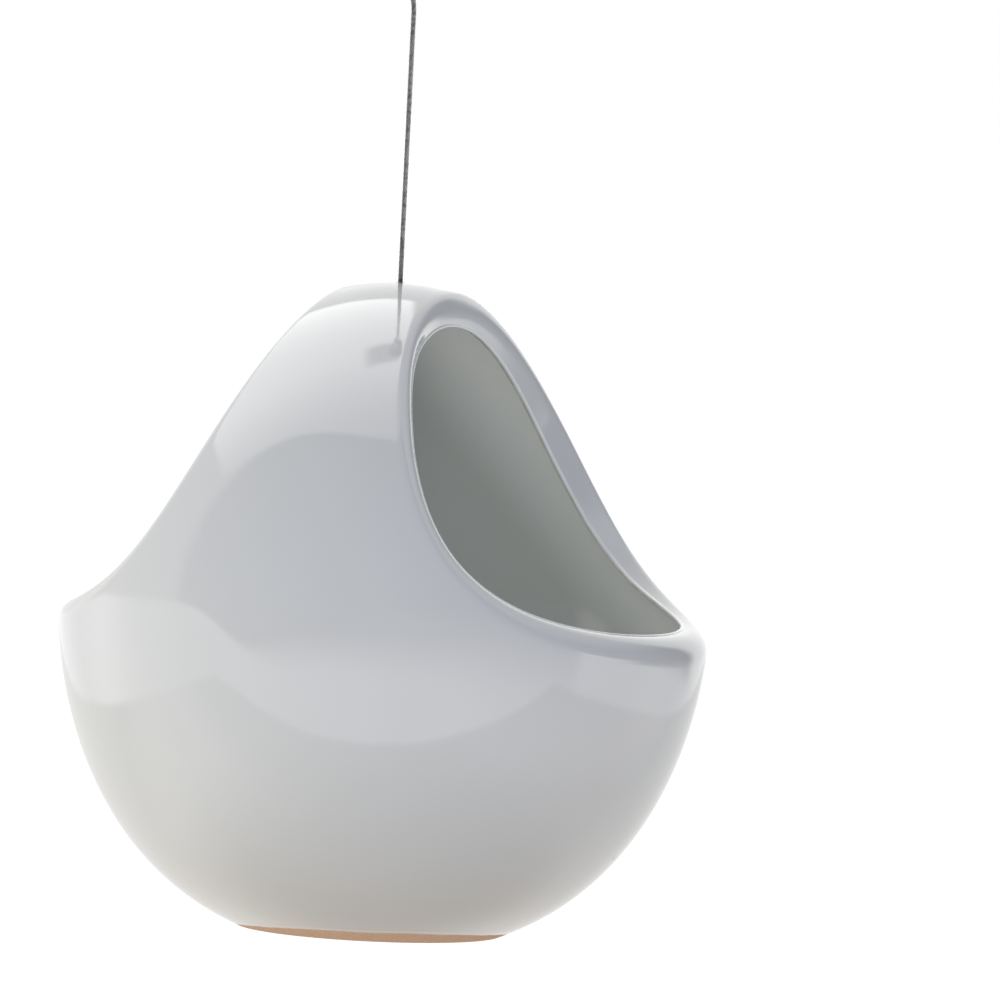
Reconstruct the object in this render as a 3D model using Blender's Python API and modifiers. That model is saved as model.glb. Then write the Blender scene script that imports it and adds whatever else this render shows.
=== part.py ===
"""Hanging planter: a slip-cast ball pot, scooped out on its left and right so that one broad arch
is left over the top, hung by a thin wire rope from a screw-in ceiling hook.

Metres, +Z up. The origin is the centre of the hook's collar where it meets the ceiling. The arch
runs front to back, the two openings face -X and +X.
"""
import math

import bmesh
import bpy
import numpy as np
from mathutils import Vector

# Gap between pieces that touch, and how far a cutter runs past what it cuts
GAP = 0.0003
OVERRUN = 0.0020

# Pot wall, heights above the plane of its foot
FOOT_RADIUS = 0.0403
BELLY_RADIUS = 0.0995
BELLY_HEIGHT = 0.1000
POT_HEIGHT = 0.1972
WALL = 0.0035

# Bezier handles of the pot's outline: out from the foot, down and up from the belly, out from the crown
FOOT_HANDLE_OUT = 0.0509
FOOT_HANDLE_UP = 0.0204
BELLY_HANDLE_DOWN = 0.0217
BELLY_HANDLE_UP = 0.0581
CROWN_HANDLE = 0.0394

# Scoop outline seen from the front, a Bezier curve from the rim's low point up beside the arch
RIM_LOW_HEIGHT = 0.0877
RIM_HANDLE_IN = 0.0490
RIM_HANDLE_UP = 0.0092
ARCH_HALF_WIDTH = 0.0148
ARCH_HANDLE_OUT = 0.0190
ARCH_HANDLE_DOWN = 0.0697

# Lip: the wall rolls inwards round each opening and is trimmed off square
LIP_ROLL_ARCH = 0.0042
LIP_ROLL_RIM = 0.0075
LIP_DEPTH = 0.0098
TRIM_BEVEL = 0.0005

# Foot ring, with the unglazed clay reaching a little way up the wall
FOOT_RING_WIDTH = 0.0065
FOOT_RECESS = 0.0012
FOOT_RECESS_SLOPE = 0.0020
GLAZE_LINE_HEIGHT = 0.0030

# Wire rope, its hole through the crown and the pieces that carry the pot on it
CABLE_RADIUS = 0.00075
CABLE_FREE_LENGTH = 0.0900
CABLE_TAIL = 0.0015
BORE_CLEARANCE = 0.0003
CROWN_HOLE_RADIUS = 0.00175
WASHER_HOLE_RADIUS = 0.0012
PAD_RADIUS = 0.0065
PAD_THICKNESS = 0.0015
WASHER_RADIUS = 0.0060
WASHER_THICKNESS = 0.0010
FERRULE_RADIUS = 0.0021
FERRULE_LENGTH = 0.0080
CRIMP_DEPTH = 0.00025
CRIMP_WIDTH = 0.0014
FERRULE_CRIMP_SPACING = 0.0029
EDGE_BREAK = 0.0002

# Eye at the cable's upper end, closed by an oval crimped sleeve
EYE_RADIUS = 0.0046
EYE_LENGTH = 0.0170
EYE_HANDLE = 0.0045
SLEEVE_LENGTH = 0.0090
SLEEVE_WALL = 0.0009
SLEEVE_CRIMP_SPACING = 0.0040
CABLE_SIDE_STEP = 0.0080

# Ceiling hook of round rod, with a collar and a wood screw
HOOK_ROD_RADIUS = 0.0016
HOOK_BEND_RADIUS = 0.0080
HOOK_SHOULDER_RADIUS = 0.0040
HOOK_NECK = 0.0045
HOOK_TIP_ANGLE = -200.0
HOOK_TIP_NARROWING = (0.90, 0.55)
ROD_FILLET = 0.0008
COLLAR_RADIUS = 0.0085
COLLAR_THICKNESS = 0.0024
COLLAR_LAND = 0.0011
COLLAR_DOME = 0.0018
SCREW_RADIUS = 0.0021
SCREW_TAPER = 0.0002
SCREW_LENGTH = 0.0200
SCREW_POINT = 0.0050

# Places that follow from the sizes
SHOULDER_RISE = math.sqrt(HOOK_BEND_RADIUS ** 2 + 2 * HOOK_BEND_RADIUS * HOOK_SHOULDER_RADIUS)
BEND_Z = -COLLAR_THICKNESS - HOOK_NECK - SHOULDER_RISE
SEAT_Z = BEND_Z - HOOK_BEND_RADIUS
EYE_TOP_Z = SEAT_Z + HOOK_ROD_RADIUS + GAP + CABLE_RADIUS
SLEEVE_TOP_Z = EYE_TOP_Z - EYE_LENGTH
SLEEVE_Z = SLEEVE_TOP_Z - SLEEVE_LENGTH
CROWN_Z = SLEEVE_Z - CABLE_FREE_LENGTH
FOOT_Z = CROWN_Z - POT_HEIGHT
BORE_RADIUS = CABLE_RADIUS + BORE_CLEARANCE
CABLE_OFFSET = CABLE_RADIUS + GAP / 2
SLEEVE_HALF_DEPTH = BORE_RADIUS + SLEEVE_WALL
SLEEVE_HALF_WIDTH = CABLE_OFFSET + SLEEVE_HALF_DEPTH


def bezier(points, t):
    """Cubic Bezier curve through its first and last point, at the values t."""
    a, b, c, d = (np.array(p, float) for p in points)
    t = np.asarray(t, float)[..., None]
    return (1 - t) ** 3 * a + 3 * t * (1 - t) ** 2 * b + 3 * t * t * (1 - t) * c + t ** 3 * d


class Bulb:
    """The ball pot before it is scooped: an outline of two Bezier arcs, turned about Z."""

    def __init__(self):
        t = np.linspace(0, 1, 600)
        upper = bezier([(0, POT_HEIGHT), (CROWN_HANDLE, POT_HEIGHT),
                        (BELLY_RADIUS, BELLY_HEIGHT + BELLY_HANDLE_UP), (BELLY_RADIUS, BELLY_HEIGHT)], t)
        lower = bezier([(BELLY_RADIUS, BELLY_HEIGHT), (BELLY_RADIUS, BELLY_HEIGHT - BELLY_HANDLE_DOWN),
                        (FOOT_RADIUS + FOOT_HANDLE_OUT, FOOT_HANDLE_UP), (FOOT_RADIUS, 0)], t)
        self.r, self.z = np.concatenate([upper, lower[1:]]).T
        step = np.hypot(np.diff(self.r), np.diff(self.z))
        self.way = np.concatenate([[0], np.cumsum(step)])
        self.slope_r = np.gradient(self.r, self.way)
        self.slope_z = np.gradient(self.z, self.way)

    def way_at(self, z):
        """Distance down the wall from the crown to height z."""
        return np.interp(-z, -self.z, self.way)

    def on_map(self, flat):
        """Points of the wall for points of a flat map, which keeps distance and direction from the crown."""
        way = np.hypot(flat[..., 0], flat[..., 1])
        scale = np.interp(way, self.way, self.r) / np.maximum(way, 1e-9)
        height = np.interp(way, self.way, self.z)
        return np.stack([flat[..., 0] * scale, flat[..., 1] * scale, height], -1)

    def to_map(self, point):
        """The flat map's place for a point of the wall."""
        scale = self.way_at(point[..., 2]) / np.hypot(point[..., 0], point[..., 1])
        return point[..., :2] * scale[..., None]

    def normal(self, point):
        """Outward normal of the wall at a point of it."""
        way = self.way_at(point[..., 2])
        out = -np.interp(way, self.way, self.slope_z)
        up = np.interp(way, self.way, self.slope_r)
        flat = point[..., :2] / np.hypot(point[..., 0], point[..., 1])[..., None]
        return unit(np.concatenate([flat * out[..., None], up[..., None]], -1))


BULB = Bulb()


def unit(v):
    return v / np.linalg.norm(v, axis=-1, keepdims=True)


def scoop_outline(t):
    """Right-hand scoop seen from the front: distance from the middle and height."""
    rim = np.interp(-RIM_LOW_HEIGHT, -BULB.z, BULB.r)
    crown_way = np.interp(ARCH_HALF_WIDTH, BULB.r[:500], BULB.way[:500])
    top = np.interp(crown_way, BULB.way, BULB.z)
    return bezier([(rim, RIM_LOW_HEIGHT), (rim - RIM_HANDLE_IN, RIM_LOW_HEIGHT + RIM_HANDLE_UP),
                   (ARCH_HALF_WIDTH + ARCH_HANDLE_OUT, top - ARCH_HANDLE_DOWN),
                   (ARCH_HALF_WIDTH, top)], t)


def scoop_edge(turn):
    """Where the scoop meets the wall: once round the right opening, from the rim's low point up the front."""
    t = (1 - np.cos(turn)) / 2
    x, z = scoop_outline(t).T
    radius = np.interp(-z, -BULB.z, BULB.r)
    depth = np.sqrt(np.maximum(radius ** 2 - x ** 2, 0))
    return np.stack([x, -np.sign(np.sin(turn)) * depth, z], -1)


def lip(turn, rolls):
    """The rolled lip as rows of points: an arc from the wall into the opening, then straight to the trim."""
    step = 1e-3
    start = scoop_edge(turn)
    along = unit(scoop_edge(turn + step) - scoop_edge(turn - step))
    out = BULB.normal(start)
    across = unit(np.cross(along, out))
    low = ((1 + np.cos(turn)) / 2) ** 2
    roll = (LIP_ROLL_ARCH + (LIP_ROLL_RIM - LIP_ROLL_ARCH) * low)[:, None]
    rows = []
    for bend in np.linspace(0, math.pi / 2, rolls + 1):
        rows.append(start + roll * (math.sin(bend) * across - (1 - math.cos(bend)) * out))
    rows.append(start + roll * across - LIP_DEPTH * out)
    return np.stack(rows)


# Mesh of the pot: counts of faces across the arch, under an opening, over the arch, and so on
ARCH_COLUMNS = 14
UNDER_COLUMNS = 20
OVER_ROWS = 28
JOIN_ROWS = 4
BOWL_ROWS = 9
ROLL_ROWS = 4
SHOULDER_TURN = math.radians(62)
SHOULDER_BEARING = math.radians(42)
BOWL_TOP_HEIGHT = 0.0760


def right_turns(count):
    return np.linspace(SHOULDER_TURN, 2 * math.pi - SHOULDER_TURN, count)


def arch_patch():
    """Wall from the bowl's top at the front, over the arch, to the bowl's top at the back."""
    bowl_way = BULB.way_at(BOWL_TOP_HEIGHT)
    corner = bowl_way * np.array([math.sin(SHOULDER_BEARING), -math.cos(SHOULDER_BEARING)])
    front_turns = right_turns(OVER_ROWS + 1)[:OVER_ROWS // 2 + 1]
    edge = BULB.to_map(scoop_edge(front_turns))
    join = np.linspace(0, 1, JOIN_ROWS, endpoint=False)[:, None]
    right = np.concatenate([corner + join * (edge[0] - corner), edge])
    right[-1, 1] = 0
    share = np.linspace(-1, 1, ARCH_COLUMNS + 1)
    way = np.hypot(right[:, 0], right[:, 1])[:, None]
    bearing = np.arctan2(right[:, 0], -right[:, 1])[:, None]
    straight = np.stack([right[:, :1] * share, np.repeat(right[:, 1:], len(share), 1)], -1)
    circle = np.stack([way * np.sin(bearing * share), -way * np.cos(bearing * share)], -1)
    bow = (np.cos(np.linspace(0, math.pi, len(right))) / 2 + 0.5)[:, None, None]
    front = bow * circle + (1 - bow) * straight
    back = front[-2::-1] * [1, -1]
    return BULB.on_map(np.concatenate([front, back]))


def under_patch():
    """Wall below the right opening, from the bowl's top up to the scoop's edge."""
    bearing = np.linspace(SHOULDER_BEARING, math.pi - SHOULDER_BEARING, UNDER_COLUMNS + 1)
    turn = np.linspace(SHOULDER_TURN, -SHOULDER_TURN, UNDER_COLUMNS + 1)
    low = BULB.way_at(BOWL_TOP_HEIGHT) * np.stack([np.sin(bearing), -np.cos(bearing)], -1)
    high = BULB.to_map(scoop_edge(turn))
    rise = np.linspace(0, 1, JOIN_ROWS + 1)[:, None, None]
    return BULB.on_map(low + rise * (high - low))


def bowl_patch():
    """Wall of the bowl with its foot ring, in full circles from the middle of the underside upwards."""
    side = np.linspace(-SHOULDER_BEARING, SHOULDER_BEARING, ARCH_COLUMNS + 1)
    under = np.linspace(SHOULDER_BEARING, math.pi - SHOULDER_BEARING, UNDER_COLUMNS + 1)
    half = np.concatenate([side[:-1], under[:-1]])
    bearing = np.concatenate([half, half + math.pi, [half[0] + 2 * math.pi]])
    ring_inner = FOOT_RADIUS - FOOT_RING_WIDTH
    recess = ring_inner - FOOT_RECESS_SLOPE
    foot = [(0, FOOT_RECESS), (recess / 2, FOOT_RECESS), (recess, FOOT_RECESS), (ring_inner, 0)]
    way = np.linspace(BULB.way[-1], BULB.way_at(BOWL_TOP_HEIGHT), BOWL_ROWS + 1)
    wall = np.stack([np.interp(way, BULB.way, BULB.r), np.interp(way, BULB.way, BULB.z)], -1)
    rows = np.concatenate([foot, wall])
    r = rows[:, :1]
    return np.stack([r * np.sin(bearing), -r * np.cos(bearing), np.repeat(rows[:, 1:], len(bearing), 1)], -1)


def lip_patch():
    """The right opening's lip, all the way round."""
    under = np.linspace(-SHOULDER_TURN, SHOULDER_TURN, UNDER_COLUMNS + 1)
    return lip(np.concatenate([under[:-1], right_turns(OVER_ROWS + 1)]), ROLL_ROWS)


def add_grid(mesh, points, mirror=False):
    """Adds a grid of points to a bmesh as rows of four-sided faces, or its mirror image in X."""
    points = points * [-1, 1, 1] if mirror else points
    rows = [[mesh.verts.new(p) for p in row] for row in points]
    for low, high in zip(rows, rows[1:]):
        for i in range(len(low) - 1):
            mesh.faces.new((low[i], low[i + 1], high[i + 1], high[i]))


# Scene, materials and placing
def clear_scene():
    for item in list(bpy.data.objects):
        bpy.data.objects.remove(item)


def collection(name):
    made = bpy.data.collections.new(name)
    bpy.context.scene.collection.children.link(made)
    return made


def material(name, colour, roughness, metallic=0.0):
    made = bpy.data.materials.new(name)
    made.use_nodes = True
    shader = made.node_tree.nodes["Principled BSDF"]
    shader.inputs["Base Color"].default_value = (*colour, 1)
    shader.inputs["Roughness"].default_value = roughness
    shader.inputs["Metallic"].default_value = metallic
    made.diffuse_color = (*colour, 1)
    return made


def add_object(name, data, finish, pivot=None, z=0.0):
    """Puts mesh or curve data in the part's collection, with its origin on the Z axis at height z."""
    made = bpy.data.objects.new(name, data)
    PARTS.objects.link(made)
    if finish:
        data.materials.append(finish)
    made.parent = pivot
    made.location.z = z - (pivot["height"] if pivot else 0.0)
    return made


def add_pivot(name, z, parent=None):
    """Empty on the Z axis that carries the pieces moving about a joint there."""
    made = add_object(name, None, None, parent, z)
    made["height"] = z
    return made


def add_cutter(name, data, z):
    made = bpy.data.objects.new(name, data)
    CUTTERS.objects.link(made)
    made.location.z = z
    made.hide_render = True
    made.display_type = "WIRE"
    return made


def boolean(target, tool, operation):
    step = target.modifiers.new(tool.name, "BOOLEAN")
    step.operation = operation
    step.object = tool


def cylinder(name, radius, length, sides):
    """Upright closed cylinder about its middle, as mesh data."""
    form = bmesh.new()
    bmesh.ops.create_cone(form, cap_ends=True, segments=sides, radius1=radius, radius2=radius, depth=length)
    data = bpy.data.meshes.new(name)
    form.to_mesh(data)
    form.free()
    return data


def profile_mesh(name, outline, closed):
    """Outline of (radius, height) points, down its outer side, as mesh data for a Screw modifier."""
    count = len(outline)
    edges = [(i, (i + 1) % count) for i in range(count if closed else count - 1)]
    data = bpy.data.meshes.new(name)
    data.from_pydata([(r, 0, z) for r, z in outline], edges, [])
    return data


def turn_profile(target, steps):
    """Turns the object's outline once round Z."""
    screw = target.modifiers.new("Turn", "SCREW")
    screw.axis = "Z"
    screw.steps = screw.render_steps = steps
    screw.use_merge_vertices = True
    screw.merge_threshold = 0.00001
    screw.use_smooth_shade = True


def curve_data(name, rings, two_d=False):
    """Curve data from lists of points: an open path, or closed flat outlines."""
    data = bpy.data.curves.new(name, "CURVE")
    data.dimensions = "2D" if two_d else "3D"
    for points in rings:
        spline = data.splines.new("POLY")
        spline.points.add(len(points) - 1)
        for slot, point in zip(spline.points, points):
            slot.co = (*point, 1)
        spline.use_cyclic_u = two_d
    return data


def curve_to_mesh(thing):
    """Replaces a curve object by its mesh, with the caps of the tube welded on."""
    bpy.context.view_layer.update()
    solid = thing.evaluated_get(bpy.context.evaluated_depsgraph_get())
    data = bpy.data.meshes.new_from_object(solid)
    form = bmesh.new()
    form.from_mesh(data)
    bmesh.ops.remove_doubles(form, verts=form.verts, dist=0.00001)
    form.to_mesh(data)
    form.free()
    name = thing.name
    bpy.data.objects.remove(thing)
    data.name = name
    return data


def spaced(path, step):
    """Points along a smooth path at equal steps, with both its ends."""
    path = np.array(path)
    way = np.concatenate([[0], np.cumsum(np.linalg.norm(np.diff(path, axis=0), axis=1))])
    marks = np.linspace(0, way[-1], max(2, round(way[-1] / step) + 1))
    return np.stack([np.interp(marks, way, path[:, k]) for k in range(3)], -1)


# Pieces
def planter_body(pivot):
    """The pot: an open skin of patches that meet along shared points, given its wall inwards."""
    form = bmesh.new()
    add_grid(form, bowl_patch())
    add_grid(form, arch_patch())
    for mirror in (False, True):
        add_grid(form, under_patch(), mirror)
        add_grid(form, lip_patch(), mirror)
    bmesh.ops.remove_doubles(form, verts=form.verts, dist=0.00001)
    bmesh.ops.recalc_face_normals(form, faces=form.faces)
    middle = Vector((0, 0, BELLY_HEIGHT))
    if sum(face.normal.dot(face.calc_center_median() - middle) for face in form.faces) < 0:
        bmesh.ops.reverse_faces(form, faces=form.faces)
    for vertex in form.verts:
        vertex.co.z -= POT_HEIGHT
    data = bpy.data.meshes.new("planter_body")
    form.to_mesh(data)
    form.free()

    glaze = material("white_glaze", (0.80, 0.81, 0.80), 0.08)
    clay = material("bare_clay", (0.47, 0.31, 0.21), 0.85)
    pot = add_object("planter_body", data, glaze, pivot, CROWN_Z)
    data.materials.append(clay)
    for face in data.polygons:
        if face.center.z + POT_HEIGHT < GLAZE_LINE_HEIGHT:
            face.material_index = 1
    data.shade_smooth()

    wall = pot.modifiers.new("Wall", "SOLIDIFY")
    wall.thickness = WALL
    wall.offset = -1
    wall.use_even_offset = True
    wall.material_offset = 0
    trim = pot.modifiers.new("Trimmed edges", "BEVEL")
    trim.width = TRIM_BEVEL
    trim.segments = 1
    trim.limit_method = "ANGLE"
    trim.angle_limit = math.radians(70)
    hole = cylinder("crown_hole", CROWN_HOLE_RADIUS, WALL + 2 * OVERRUN, 24)
    boolean(pot, add_cutter("crown_hole", hole, CROWN_Z - WALL / 2), "DIFFERENCE")


def ring_outline(inner, outer, low, high, round_off):
    """Washer-like section with its outer corners taken off, down the outer side first."""
    return [(outer - round_off, high), (outer, high - round_off), (outer, low + round_off),
            (outer - round_off, low), (inner, low), (inner, high)]


def pad_top():
    """Height of the soft pad's top, whose edge comes up against the curved underside of the arch."""
    sag = POT_HEIGHT - float(BULB.on_map(np.array([PAD_RADIUS, 0.0]))[2])
    return CROWN_Z - WALL - sag - GAP


def washer_top():
    return pad_top() - PAD_THICKNESS - GAP


def ferrule_top():
    return washer_top() - WASHER_THICKNESS - GAP


def rubber_pad(pivot):
    """Soft pad that keeps the washer off the glaze under the arch."""
    section = ring_outline(WASHER_HOLE_RADIUS, PAD_RADIUS, -PAD_THICKNESS, 0, EDGE_BREAK)
    rubber = material("black_rubber", (0.03, 0.03, 0.03), 0.75)
    form = profile_mesh("rubber_pad", section, True)
    turn_profile(add_object("rubber_pad", form, rubber, pivot, pad_top()), 32)


def steel_washer(pivot):
    """Washer that carries the pot on the ferrule."""
    section = ring_outline(WASHER_HOLE_RADIUS, WASHER_RADIUS, -WASHER_THICKNESS, 0, EDGE_BREAK)
    steel = material("bright_steel", (0.55, 0.55, 0.56), 0.28, 1.0)
    form = profile_mesh("steel_washer", section, True)
    turn_profile(add_object("steel_washer", form, steel, pivot, washer_top()), 32)


def stop_ferrule(pivot):
    """Round sleeve crimped on the cable's lower end, under the washer, with two pressed grooves."""
    outline = [(FERRULE_RADIUS - EDGE_BREAK, 0), (FERRULE_RADIUS, -EDGE_BREAK)]
    for side in (1, -1):
        middle = (side * FERRULE_CRIMP_SPACING - FERRULE_LENGTH) / 2
        outline += [(FERRULE_RADIUS, middle + CRIMP_WIDTH / 2),
                    (FERRULE_RADIUS - CRIMP_DEPTH, middle + CRIMP_WIDTH / 4),
                    (FERRULE_RADIUS - CRIMP_DEPTH, middle - CRIMP_WIDTH / 4),
                    (FERRULE_RADIUS, middle - CRIMP_WIDTH / 2)]
    outline += [(FERRULE_RADIUS, EDGE_BREAK - FERRULE_LENGTH), (FERRULE_RADIUS - EDGE_BREAK, -FERRULE_LENGTH),
                (BORE_RADIUS, -FERRULE_LENGTH), (BORE_RADIUS, 0)]
    alloy = material("ferrule_alloy", (0.60, 0.60, 0.60), 0.38, 1.0)
    form = profile_mesh("stop_ferrule", outline, True)
    turn_profile(add_object("stop_ferrule", form, alloy, pivot, ferrule_top()), 24)


def taut_line(bottom):
    """The cable's middle line from its lower end up through the pot to the sleeve, where it steps aside."""
    rise = np.linspace(0, 1, 24)
    step = np.stack([-CABLE_OFFSET * rise ** 2 * (3 - 2 * rise), 0 * rise,
                     SLEEVE_Z - CABLE_SIDE_STEP * (1 - rise)], -1)
    return np.concatenate([np.linspace((0, 0, bottom), step[0], 60), step[1:]])


def eye_line():
    """The cable's middle line up through the sleeve, round the eye and back down through the sleeve."""
    side_z = EYE_TOP_Z - EYE_RADIUS
    leg = bezier([(-CABLE_OFFSET, 0, SLEEVE_TOP_Z), (-CABLE_OFFSET, 0, SLEEVE_TOP_Z + EYE_HANDLE),
                  (-EYE_RADIUS, 0, side_z - EYE_HANDLE), (-EYE_RADIUS, 0, side_z)], np.linspace(0, 1, 30))
    bend = np.linspace(math.pi, math.pi / 2, 30)
    arc = np.stack([EYE_RADIUS * np.cos(bend), 0 * bend, side_z + EYE_RADIUS * np.sin(bend)], -1)
    half = np.concatenate([leg, arc[1:]])
    start = [(-CABLE_OFFSET, 0, SLEEVE_Z)]
    tail = [(CABLE_OFFSET, 0, SLEEVE_Z + EDGE_BREAK)]
    return np.concatenate([start, half, half[-2::-1] * [-1, 1, 1], tail])


def hanging_cable(pivot):
    """Twisted steel wire rope, here its outer round, in one length from below the ferrule."""
    bottom = ferrule_top() - FERRULE_LENGTH - CABLE_TAIL
    taut = spaced(taut_line(bottom), 6 * CABLE_RADIUS)
    eye = spaced(eye_line(), 2 * CABLE_RADIUS)
    data = curve_data("hanging_cable", [np.concatenate([taut, eye[1:]]) - [0, 0, SEAT_Z]])
    data.bevel_depth = CABLE_RADIUS
    data.bevel_resolution = 2
    data.use_fill_caps = True
    add_object("hanging_cable", data, material("dark_wire", (0.13, 0.12, 0.12), 0.45, 1.0), pivot, SEAT_Z)


def stadium(half_length, radius, sides):
    """Flat outline with two straight sides along X and round ends."""
    bend = np.linspace(-math.pi / 2, math.pi / 2, sides)
    right = np.stack([half_length + radius * np.cos(bend), radius * np.sin(bend), 0 * bend], -1)
    return np.concatenate([right, right * [-1, -1, 1]])


def eye_sleeve(pivot):
    """Oval sleeve crimped over both legs of the eye."""
    outer = stadium(CABLE_OFFSET, SLEEVE_HALF_DEPTH, 13)
    inner = stadium(CABLE_OFFSET, BORE_RADIUS, 9)
    data = curve_data("eye_sleeve", [outer, inner], two_d=True)
    data.fill_mode = "BOTH"
    data.extrude = SLEEVE_LENGTH / 2
    middle = SLEEVE_Z + SLEEVE_LENGTH / 2
    form = curve_to_mesh(add_object("eye_sleeve", data, None, pivot, middle))
    alloy = material("sleeve_alloy", (0.60, 0.60, 0.60), 0.38, 1.0)
    sleeve = add_object("eye_sleeve", form, alloy, pivot, middle)
    for side in (-1, 1):
        for rise in (-SLEEVE_CRIMP_SPACING / 2, SLEEVE_CRIMP_SPACING / 2):
            bar = cylinder("crimp_bar", CRIMP_WIDTH / 2, 2 * (SLEEVE_HALF_WIDTH + OVERRUN), 12)
            cut = add_cutter("crimp_bar", bar, middle + rise)
            cut.location.y = side * (SLEEVE_HALF_DEPTH + CRIMP_WIDTH / 2 - CRIMP_DEPTH)
            cut.rotation_euler.y = math.pi / 2
            boolean(sleeve, cut, "DIFFERENCE")


def hook_path():
    """Middle line of the hook's rod in the YZ plane: from the collar over the shoulder and round the bend."""
    start_bearing = math.atan2(SHOULDER_RISE, HOOK_SHOULDER_RADIUS)
    shoulder = np.linspace(math.pi, math.pi + start_bearing, 16)
    bend = np.linspace(start_bearing, math.radians(HOOK_TIP_ANGLE), 60)
    shoulder_line = np.stack([0 * shoulder, HOOK_SHOULDER_RADIUS * (1 + np.cos(shoulder)),
                              SHOULDER_RISE + HOOK_SHOULDER_RADIUS * np.sin(shoulder)], -1)
    bend_line = np.stack([0 * bend, HOOK_BEND_RADIUS * np.cos(bend), HOOK_BEND_RADIUS * np.sin(bend)], -1)
    top = [(0, 0, -BEND_Z - COLLAR_THICKNESS / 2)]
    return np.concatenate([top, shoulder_line, bend_line[1:]])


def ceiling_hook():
    """Screw, collar and rod of the hook joined into one piece of steel."""
    outline = [(0, SCREW_LENGTH), (SCREW_RADIUS - SCREW_TAPER, SCREW_LENGTH - SCREW_POINT),
               (SCREW_RADIUS, 0.0), (COLLAR_RADIUS, 0.0)]
    for bend in np.linspace(0, math.pi / 2, 4):
        outline.append((COLLAR_RADIUS - COLLAR_DOME * (1 - math.cos(bend)),
                        -COLLAR_LAND - (COLLAR_THICKNESS - COLLAR_LAND) * math.sin(bend)))
    outline += [(HOOK_ROD_RADIUS + ROD_FILLET, -COLLAR_THICKNESS), (0, -COLLAR_THICKNESS - ROD_FILLET)]
    steel = material("hook_steel", (0.50, 0.50, 0.50), 0.25, 1.0)
    hook = add_object("ceiling_hook", profile_mesh("ceiling_hook", outline, False), steel)
    turn_profile(hook, 32)
    data = curve_data("hook_rod", [spaced(hook_path(), HOOK_ROD_RADIUS * 0.8)])
    data.bevel_depth = HOOK_ROD_RADIUS
    data.bevel_resolution = 3
    data.use_fill_caps = True
    for point, share in zip(list(data.splines[0].points)[-len(HOOK_TIP_NARROWING):], HOOK_TIP_NARROWING):
        point.radius = share
    rod = curve_to_mesh(add_cutter("hook_rod", data, BEND_Z))
    boolean(hook, add_cutter("hook_rod", rod, BEND_Z), "UNION")


def build():
    swing = add_pivot("cable_swing_pivot", SEAT_Z)
    tilt = add_pivot("pot_tilt_pivot", washer_top() - WASHER_THICKNESS / 2, swing)
    spin = add_pivot("pot_spin_pivot", CROWN_Z, tilt)
    ceiling_hook()
    for make in (hanging_cable, eye_sleeve, stop_ferrule):
        make(swing)
    for make in (steel_washer, rubber_pad):
        make(tilt)
    planter_body(spin)


clear_scene()
PARTS = collection("hanging_planter")
CUTTERS = collection("cutters")
build()
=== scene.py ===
"""Looks for the hanging planter: a white glazed ball pot with an unglazed foot, on a twisted wire rope."""
import math

import bmesh
import bpy
import numpy as np
from mathutils import Matrix, Vector


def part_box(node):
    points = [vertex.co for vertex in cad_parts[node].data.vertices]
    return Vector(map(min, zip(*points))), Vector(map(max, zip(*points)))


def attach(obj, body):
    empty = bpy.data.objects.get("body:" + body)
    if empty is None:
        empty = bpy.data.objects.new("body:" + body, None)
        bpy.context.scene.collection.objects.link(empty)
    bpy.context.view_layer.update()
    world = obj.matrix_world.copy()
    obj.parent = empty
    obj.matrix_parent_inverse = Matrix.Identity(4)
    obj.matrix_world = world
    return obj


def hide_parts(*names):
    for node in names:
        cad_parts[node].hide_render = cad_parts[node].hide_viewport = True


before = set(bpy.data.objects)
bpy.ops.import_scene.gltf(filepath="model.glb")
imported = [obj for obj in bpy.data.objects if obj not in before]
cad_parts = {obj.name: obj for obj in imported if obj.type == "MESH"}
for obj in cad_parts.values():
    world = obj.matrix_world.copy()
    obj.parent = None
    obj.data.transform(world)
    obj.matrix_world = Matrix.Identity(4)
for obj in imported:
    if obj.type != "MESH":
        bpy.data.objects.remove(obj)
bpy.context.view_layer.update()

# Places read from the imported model
FOOT_Z, CROWN_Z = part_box("planter_body")[0].z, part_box("planter_body")[1].z
PAD_LOW, PAD_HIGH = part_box("rubber_pad")
WASHER_LOW, WASHER_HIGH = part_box("steel_washer")
FERRULE_LOW, FERRULE_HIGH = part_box("stop_ferrule")
SLEEVE_LOW, SLEEVE_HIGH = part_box("eye_sleeve")
CABLE_LOW, CABLE_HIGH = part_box("hanging_cable")
HOOK_LOW, HOOK_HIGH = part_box("ceiling_hook")
GAP = 0.0003
MERGE_DISTANCE = 0.000004

# Pot wall, heights above the foot
FOOT_RADIUS = 0.0403
BELLY_RADIUS = 0.0995
BELLY_HEIGHT = 0.1000
POT_HEIGHT = 0.1972
OUTLINE_POINTS = 1500
WALL = 0.0035
FOOT_HANDLE = (0.0509, 0.0204)
BELLY_HANDLES = (0.0217, 0.0581)
CROWN_HANDLE = 0.0394
RIM_LOW_HEIGHT = 0.0877
RIM_HANDLE = (0.0490, 0.0092)
ARCH_HALF_WIDTH = 0.0148
ARCH_HANDLE = (0.0190, 0.0697)
LIP_ROLL_ARCH = 0.0042
LIP_ROLL_RIM = 0.0075
LIP_DEPTH = 0.0098
TRIM_ROUND = 0.00045
TRIM_WOBBLE = 0.00030
EDGE_THICKNESS = 0.0013
INNER_ROLL_LEAST = 0.0003
BEAD_RADIUS = 0.00075
BEAD_RISE = 0.00040
FOOT_RING_WIDTH = 0.0065
FOOT_RECESS = 0.0012
FOOT_RING_MIDDLE = 0.003
FOOT_COVE = 0.002
FOOT_RADII = (0.0, 0.008, 0.018, 0.026)
INNER_RADII = (0.0, 0.010, 0.020, 0.030)
INNER_COVE = (0.014, 0.0012)
LEAST_STEP = 0.002
CROWN_HOLE_RADIUS = 0.00175
DRILL_DEPTH = 0.012

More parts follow.
